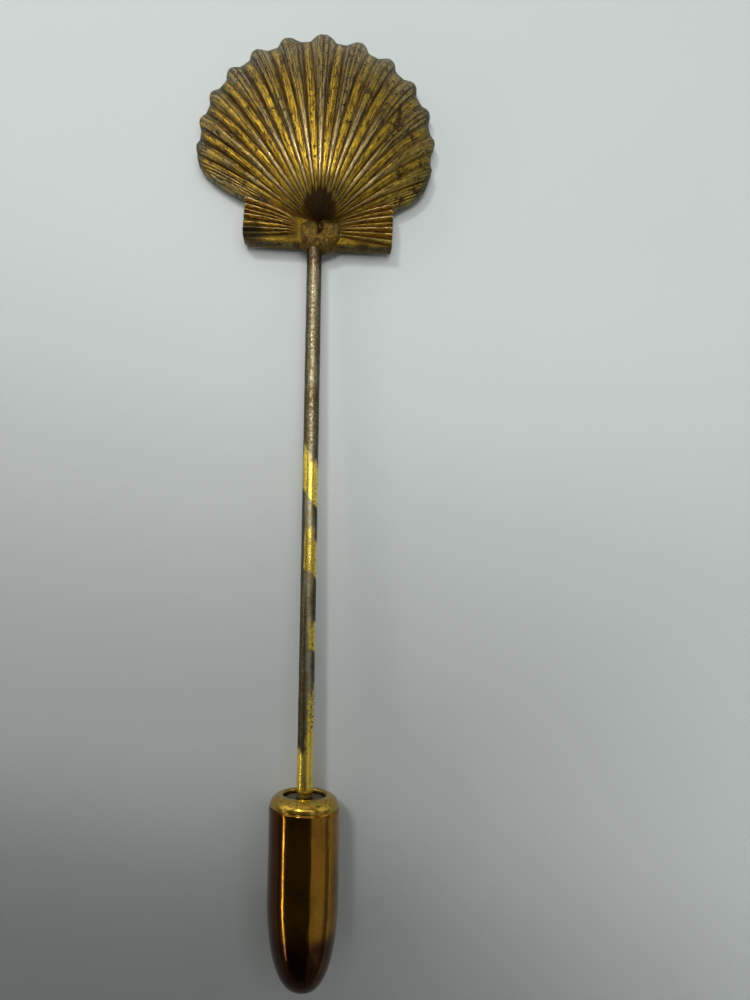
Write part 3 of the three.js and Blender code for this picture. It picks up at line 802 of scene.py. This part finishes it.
def cast_gilt(context):
    """Antique gilt on a casting: gold in the channels, crests rubbed pale with a painted highlight above
    the beak, lobes grey brown, red brown and grime in the grooves, lines and pits, painted shade round the
    beak, verdigris at the edges and olive tarnish on one side."""
    c = context.scene.hat_pin_colours
    m = Recipe("cast_gilt")
    lobe, channel, groove = m.value("lobe"), m.value("channel"), m.value("groove")
    soot, dull, edge = m.value("soot"), m.value("dull"), m.value("edge")
    rib_line, reach, rear = m.value("rib_line"), m.value("reach"), m.value("rear")
    streak = m.noise(9.0, 4.0, m.vector(rib_line, m.times(reach, 1.6)), 0.6)
    thread = m.noise(17.0, 3.0, m.vector(rib_line, m.times(reach, 0.4), 7.0), 0.6)
    speck = m.noise(8.0, 3.0, m.vector(rib_line, m.times(reach, 5.0), 3.0), 0.6)
    patchy = m.noise(0.5, 4.0)
    grain = m.noise(4.0, 4.0, roughness=0.65)
    pits = m.step(speck, 0.56, 0.61)
    valley = m.step(m.value("strand"), 0.15, -0.5)
    lines = m.step(thread, 0.53, 0.59)

    gold = m.mix(m.step(grain, 0.35, 0.65), m.mix(0.4, c.gilt, c.dulled), c.gilt)
    gold = m.mix(m.step(streak, 0.50, 0.62, 0.0, 0.75), gold, c.umber)
    lobes = m.mix(m.step(streak, 0.42, 0.6), c.dulled, m.mix(0.35, c.dulled, c.worn_and_highlight))
    bare = m.step(m.math("ADD", patchy, m.times(streak, 0.6)), 0.68, 0.9, 0.25, 1.0)
    bare = m.times(m.less(channel), bare)
    tone = m.mix(m.either(m.times(lobe, 0.92), bare), gold, lobes)
    tone = m.mix(m.times(m.times(dull, 0.85), m.step(speck, 0.62, 0.42)), tone, c.olive)
    # Rubbed metal on the crests, with a painted highlight in the worn colour
    rubbed = m.times(m.value("rub"), m.step(streak, 0.62, 0.45, 0.35, 1.0))
    tone = m.mix(rubbed, tone, c.worn_and_highlight)
    sides = m.times(m.either(groove, m.times(lines, 0.8)), m.step(patchy, 0.62, 0.40, 0.5, 0.95))
    sides = m.times(sides, m.less(m.times(dull, 0.5)))
    # Red brown on the rib sides, and painted shade round the beak
    tone = m.mix(m.either(sides, m.times(soot, 0.85)), tone, c.umber)

    grime = m.times(groove, m.step(dull, 0.0, 1.0, 1.0, 0.6))
    grime = m.times(grime, m.step(thread, 0.36, 0.58, 0.45, 1.0))
    grime = m.either(grime, m.times(pits, m.step(patchy, 0.38, 0.6, 0.5, 0.95)))
    grime = m.either(grime, m.times(lines, m.step(grain, 0.38, 0.58, 0.3, 0.95)))
    grime = m.either(grime, m.times(valley, m.blend(channel, m.step(grain, 0.3, 0.55, 0.5, 0.95), 0.45)))
    blotches = m.step(m.noise(1.1, 4.0), 0.54, 0.64)
    grime = m.either(grime, m.times(dull, m.times(blotches, 0.9)))
    # Painted shade round the beak, in the grime colour
    grime = m.either(grime, m.times(soot, m.step(thread, 0.38, 0.56, 0.92, 0.35)))
    tone = m.mix(m.times(grime, m.less(m.times(rubbed, 0.75))), tone, c.soot)
    green = m.times(edge, m.step(patchy, 0.36, 0.58, 0.5, 0.95))
    tone = m.mix(green, tone, c.verdigris)
    tone = m.mix(m.times(rear, 0.85), tone, m.mix(m.step(patchy, 0.4, 0.6), c.dulled, c.olive))
    rough = m.blend(rubbed, m.step(grain, 0.3, 0.7, 0.26, 0.40), 0.22)
    rough = m.blend(m.either(grime, m.times(dull, 0.4)), rough, 0.7)
    rough = m.blend(m.either(green, m.times(lobe, 0.7)), rough, 0.5)
    metal = m.blend(m.either(m.times(grime, 0.35), m.times(green, 0.7)), 1.0, 0.0)
    m.put(m.shader.inputs["Specular IOR Level"], 0.3)
    m.relief((streak, 0.03), (thread, 0.03), (grain, 0.015), (m.less(pits), 0.03))
    return m.finish(tone, metal, rough)


def rough_solder(context):
    """Gilt solder with dark grains, and painted shade in its groove."""
    c = context.scene.hat_pin_colours
    m = Recipe("rough_solder")
    grain = m.noise(2.6, 6.0, roughness=0.78)
    fine = m.noise(8.0, 3.0, roughness=0.65)
    patchy = m.noise(1.1, 3.0)
    # Painted shade in the groove, and dark grains
    grime = m.either(m.value("grime"), m.step(grain, 0.40, 0.68, 0.1, 0.9))
    gold = m.mix(m.step(patchy, 0.4, 0.6), m.mix(0.75, c.gilt, c.umber), m.mix(0.88, c.gilt, c.dulled))
    gold = m.mix(m.step(fine, 0.52, 0.62, 0.0, 0.8), gold, c.umber)
    tone = m.mix(grime, gold, c.soot)
    tone = m.mix(m.times(m.value("edge"), 0.25), tone, c.umber)
    m.relief((grain, 0.10), (fine, 0.04))
    return m.finish(tone, m.blend(grime, 1.0, 0.6), m.blend(grime, 0.42, 0.65))


def worn_wire(context):
    """Bare nickel wire with brown mottling, painted shade on the flanks and at the top end, fine scratches
    and patches of bright gilt.
    """
    c = context.scene.hat_pin_colours
    tan, stain, rust = (0.27, 0.19, 0.08), (0.12, 0.085, 0.04), (0.085, 0.05, 0.015)
    shadow, bright = (0.042, 0.027, 0.008), (0.90, 0.66, 0.11)
    m = Recipe("worn_wire")
    fine = m.noise(6.0, 4.0, roughness=0.65)
    patchy = m.noise(1.4, 4.0)
    scratch = m.noise(14.0, 2.0, m.stretched(900, 60, 900))
    bare = m.mix(m.step(patchy, 0.4, 0.62), c.nickel, m.mix(0.55, c.nickel, tan))
    bare = m.mix(m.step(fine, 0.52, 0.64, 0.0, 0.5), bare, stain)
    brown = m.times(m.value("brown"), m.step(fine, 0.38, 0.56, 0.4, 1.0))
    bare = m.mix(brown, bare, rust)
    speckled = m.step(m.math("SUBTRACT", fine, m.times(m.value("speck"), 0.16)), 0.30, 0.40)
    gilt = m.times(m.value("gilt"), speckled)
    # Painted shade on the flanks
    bare = m.mix(m.times(m.value("flank"), m.step(fine, 0.3, 0.6, 0.75, 1.0)), bare, shadow)
    tone = m.mix(gilt, bare, bright)
    tone = m.mix(m.step(fine, 0.64, 0.7, 0.0, 0.7), tone, c.soot)
    # Painted shadow of the solder lump on the wire's top end
    tone = m.mix(m.times(m.value("shade"), 0.7), tone, c.soot)
    rough = m.blend(gilt, m.step(fine, 0.3, 0.7, 0.3, 0.5), 0.27)
    m.relief((scratch, 0.004), (fine, 0.006))
    return m.finish(tone, m.blend(m.times(brown, 0.5), 1.0, 0.4), rough)


def polished_brass(context):
    """Polished brass under brown tarnish, with painted shade that gets darker to the nose, a painted tan
    reflection in streaks down the right side and painted red brown shade on the left; the lip is brighter
    and rubbed."""
    c = context.scene.hat_pin_colours
    left_shade_red, tan, nose_shade_brown = (0.08, 0.022, 0.003), (0.40, 0.20, 0.018), (0.05, 0.012, 0.002)
    rubbed, spots = (0.50, 0.32, 0.045), (0.12, 0.065, 0.012)
    m = Recipe("polished_brass")
    cloud = m.noise(0.5, 4.0)
    fine = m.noise(5.0, 4.0, roughness=0.65)
    streaks = m.noise(1.6, 4.0, m.stretched(1000, 220, 1000), 0.6)
    lip, nose, round_x = m.value("lip"), m.value("nose"), m.value("round_x")
    body = m.mix(m.step(cloud, 0.38, 0.62), c.brass, m.mix(0.45, c.brass, c.soot))
    # Painted tan reflection in streaks down the right side
    right_sheen = m.times(m.step(round_x, 0.05, 0.3), m.step(round_x, 0.92, 0.74))
    right_sheen = m.times(right_sheen, m.step(streaks, 0.42, 0.6, 0.25, 1.0))
    right_sheen = m.times(right_sheen, m.step(cloud, 0.42, 0.58, 0.2, 1.0))
    # Painted red brown shade down the left side
    body = m.mix(m.step(round_x, -0.50, -0.62, 0.0, 0.9), body, left_shade_red)
    body = m.mix(m.times(right_sheen, m.step(nose, 0.7, 0.2)), body, tan)
    # Painted shade on the nose
    body = m.mix(m.times(m.step(nose, 0.1, 0.75), m.step(cloud, 0.3, 0.6, 0.8, 0.97)), body, nose_shade_brown)
    body = m.mix(m.step(fine, 0.58, 0.7, 0.0, 0.5), body, c.soot)
    bright = m.mix(m.step(m.noise(6.0, 4.0, roughness=0.7), 0.48, 0.72), rubbed, spots)
    tone = m.mix(lip, body, bright)
    tone = m.mix(m.value("inside"), tone, c.dulled)
    rough = m.blend(right_sheen, m.step(cloud, 0.35, 0.65, 0.09, 0.15), 0.3)
    rough = m.blend(lip, rough, 0.24)
    m.put(m.shader.inputs["Coat Weight"], 0.15)
    m.put(m.shader.inputs["Coat Roughness"], 0.05)
    m.relief((fine, 0.003), (cloud, 0.02))
    return m.finish(tone, 1.0, rough)


def aged_nylon(context):
    """Grey nylon darkened as painted shade inside the guard's mouth, and darker still round the needle
    hole, also painted shade.
    """
    c = context.scene.hat_pin_colours
    m = Recipe("aged_nylon")
    dusty = (0.20, 0.17, 0.14)
    fine = m.noise(5.0, 4.0)
    tone = m.mix(m.step(fine, 0.4, 0.65), c.shaded_nylon, m.mix(0.35, c.shaded_nylon, dusty))
    # Painted shade in the countersunk needle hole
    tone = m.mix(m.value("hole"), tone, c.soot)
    m.relief((fine, 0.02))
    return m.finish(tone, 0.0, m.step(fine, 0.3, 0.7, 0.45, 0.65))


def table_top(context):
    """Pale matt table top with faint mottling."""
    c = context.scene.hat_pin_colours
    m = Recipe("table_top")
    cloud = m.noise(0.02, 4.0)
    tone = m.mix(m.step(cloud, 0.3, 0.7), c.floor, [0.96 * v for v in c.floor])
    m.relief((m.noise(0.9, 4.0), 0.02))
    return m.finish(tone, 0.0, 0.6)


def matt_card():
    """Matt dark card that keeps light off the guard's end of the table."""
    return Recipe("dark_card").finish((0.10, 0.09, 0.07), 0.0, 0.8)


# ---------- operators ----------


class HATPIN_OT_shell(bpy.types.Operator):
    """Make the cast shell and the hinge plate with its ears"""

    bl_idname = "hatpin.shell"
    bl_label = "Shell Head"

    def execute(self, context):
        s = sizes_in_mm(context)
        finish = cast_gilt(context)
        for name, patches in (("cast_shell", shell_patches), ("hinge_ears", ear_patches)):
            piece = patches(s).mesh(s, name, finish)
            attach(piece, "pin")
            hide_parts("shell_head")
        return {"FINISHED"}


class HATPIN_OT_solder(bpy.types.Operator):
    """Make the lump of solder over the stem's end"""

    bl_idname = "hatpin.solder"
    bl_label = "Solder Mound"

    def execute(self, context):
        s = sizes_in_mm(context)
        piece = mound_patches(s).mesh(s, "solder_lump", rough_solder(context))
        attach(piece, "pin")
        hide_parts("solder_mound")
        return {"FINISHED"}


class HATPIN_OT_stem(bpy.types.Operator):
    """Make the wire stem with its needle"""

    bl_idname = "hatpin.stem"
    bl_label = "Stem"

    def execute(self, context):
        s = sizes_in_mm(context)
        piece = stem_patches(s).mesh(s, "stem_wire", worn_wire(context))
        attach(piece, "pin")
        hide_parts("stem")
        return {"FINISHED"}


class HATPIN_OT_guard(bpy.types.Operator):
    """Make the point guard: the brass casing and the nylon insert"""

    bl_idname = "hatpin.guard"
    bl_label = "Point Guard"

    def execute(self, context):
        s = sizes_in_mm(context)
        casing = casing_patches(s).mesh(s, "brass_casing", polished_brass(context))
        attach(casing, "casing")
        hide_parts("guard_casing")
        insert = insert_patches(s).mesh(s, "nylon_insert", aged_nylon(context))
        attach(insert, "insert")
        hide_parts("guard_insert")
        return {"FINISHED"}


# Soft boxes: name, place and aim from the pin's middle, width and length, watts, colour; all in metres
SOFT_BOXES = (
    ("overhead_box", (0.03, 0.14, 0.45), (0, 0, 0), (0.44, 0.30), 0.76, (0.97, 1.0, 0.98)),
    ("key_box", (-0.12, 0.17, 0.30), (0, 0.02, 0), (0.05, 0.05), 0.30, (1.0, 0.98, 0.94)),
    ("crest_box", (-0.02, 0.045, 0.46), (0, 0.02, 0), (0.30, 0.07), 0.50, (1.0, 0.98, 0.94)),
    ("far_panel", (-0.10, 0.50, 0.22), (0, 0.01, 0), (0.90, 0.36), 0.50, (1.0, 0.98, 0.92)),
    ("left_panel", (-0.46, 0.24, 0.18), (0, 0.01, 0), (0.34, 0.30), 0.42, (1.0, 0.96, 0.90)),
    ("right_side", (0.46, 0.24, 0.18), (0, 0.01, 0), (0.34, 0.30), 0.24, (1.0, 0.98, 0.94)),
    ("right_panel", (0.22, -0.14, 0.26), (0, -0.03, 0), (0.30, 0.42), 0.09, (1.0, 0.98, 0.94)),
    ("left_strip", (-0.50, -0.22, 0.22), (0, -0.03, 0), (0.50, 0.018), 0.34, (1.0, 0.92, 0.84)),
)
CARD = ((-0.10, 0.023), (0.024, 0.001), (0.024, -0.17), (-0.10, -0.17))  # dark card over the guard's end
CARD_HEIGHT = 0.056
FLOOR_HALF, FLOOR_GAP = 2.0, 0.00002  # half the table top's width, and how far it lies below the pin
ROOM_COLOUR, ROOM_STRENGTH = (0.9, 0.95, 1.0, 1.0), 0.125
CAMERA_PLACE = (0.5, -24.4, 50.5)  # millimetres, in the pin's frame
CAMERA_TILT, CAMERA_ROLL = math.radians(6.9), math.radians(0.98)
LENS, SENSOR, LENS_SHIFT = 26.0, 36.0, 0.058
NEAREST, FARTHEST = 0.002, 10.0


def flat_sheet(name, corners, material):
    """A flat sheet between four corners, as an object in the scene."""
    mesh = bpy.data.meshes.new(name)
    mesh.from_pydata(corners, [], [(0, 1, 2, 3)])
    mesh.materials.append(material)
    sheet = bpy.data.objects.new(name, mesh)
    bpy.context.scene.collection.objects.link(sheet)
    return sheet


class HATPIN_OT_stage(bpy.types.Operator):
    """Lay the floor, and place the lights and the camera"""

    bl_idname = "hatpin.stage"
    bl_label = "Stage"

    def execute(self, context):
        scene = context.scene
        s = sizes_in_mm(context)
        half, low = FLOOR_HALF, CAD_BOX[0][2] - FLOOR_GAP
        corners = [(-half, -half, low), (half, -half, low), (half, half, low), (-half, half, low)]
        table = flat_sheet("floor", corners, table_top(context))
        card = flat_sheet("dark_card", [(x, y, CARD_HEIGHT) for x, y in CARD], matt_card())
        card.visible_camera = False

        for name, place, aim, size, watts, tint in SOFT_BOXES:
            light = bpy.data.lights.new(name, "AREA")
            light.shape, (light.size, light.size_y) = "RECTANGLE", size
            light.energy, light.color = watts, tint
            lamp = bpy.data.objects.new(name, light)
            lamp.location = place
            lamp.rotation_euler = (Vector(aim) - Vector(place)).to_track_quat("-Z", "Y").to_euler()
            lamp.visible_camera = False
            scene.collection.objects.link(lamp)

        world = bpy.data.worlds.new("room")
        world.use_nodes = True
        background = world.node_tree.nodes["Background"]
        background.inputs["Color"].default_value = ROOM_COLOUR
        background.inputs["Strength"].default_value = ROOM_STRENGTH
        scene.world = world
        scene.view_settings.view_transform = "Standard"

        tilt, roll = CAMERA_TILT, CAMERA_ROLL
        ahead = math.sin(tilt) * UP_STEM - math.cos(tilt) * FACING
        upright = math.cos(tilt) * UP_STEM + math.sin(tilt) * FACING
        right = math.cos(roll) * SIDEWAYS + math.sin(roll) * upright
        above = math.cos(roll) * upright - math.sin(roll) * SIDEWAYS
        lens = bpy.data.cameras.new("camera")
        lens.lens, lens.sensor_width, lens.shift_x = LENS, SENSOR, LENS_SHIFT
        lens.clip_start, lens.clip_end = NEAREST, FARTHEST
        camera = bpy.data.objects.new("camera", lens)
        turn = Matrix(np.stack((right, above, -ahead), 1).tolist()).to_4x4()
        camera.matrix_world = Matrix.Translation(on_pin(s, np.array(CAMERA_PLACE))) @ turn
        scene.collection.objects.link(camera)
        scene.camera = camera
        return {"FINISHED"}


class HATPIN_PT_panel(bpy.types.Panel):
    """Lists the steps that build the hat pin"""

    bl_label = "Hat Pin"
    bl_idname = "HATPIN_PT_panel"
    bl_space_type = "VIEW_3D"
    bl_region_type = "UI"
    bl_category = "Hat Pin"

    def draw(self, context):
        for operator in STEPS:
            self.layout.operator(operator.bl_idname)
        for group in (context.scene.hat_pin_sizes, context.scene.hat_pin_colours):
            box = self.layout.box()
            for key in type(group).__annotations__:
                box.prop(group, key)


STEPS = (HATPIN_OT_shell, HATPIN_OT_solder, HATPIN_OT_stem, HATPIN_OT_guard, HATPIN_OT_stage)
CLASSES = (HatPinSizes, HatPinColours, *STEPS, HATPIN_PT_panel)


def register():
    for cls in CLASSES:
        bpy.utils.register_class(cls)
    bpy.types.Scene.hat_pin_sizes = bpy.props.PointerProperty(type=HatPinSizes)
    bpy.types.Scene.hat_pin_colours = bpy.props.PointerProperty(type=HatPinColours)


def unregister():
    del bpy.types.Scene.hat_pin_colours
    del bpy.types.Scene.hat_pin_sizes
    for cls in reversed(CLASSES):
        bpy.utils.unregister_class(cls)


def main():
    """Registers the add-on, and builds every piece and the stage."""
    register()
    bpy.ops.hatpin.shell()
    bpy.ops.hatpin.solder()
    bpy.ops.hatpin.stem()
    bpy.ops.hatpin.guard()
    bpy.ops.hatpin.stage()
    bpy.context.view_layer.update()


if __name__ == "__main__":
    main()
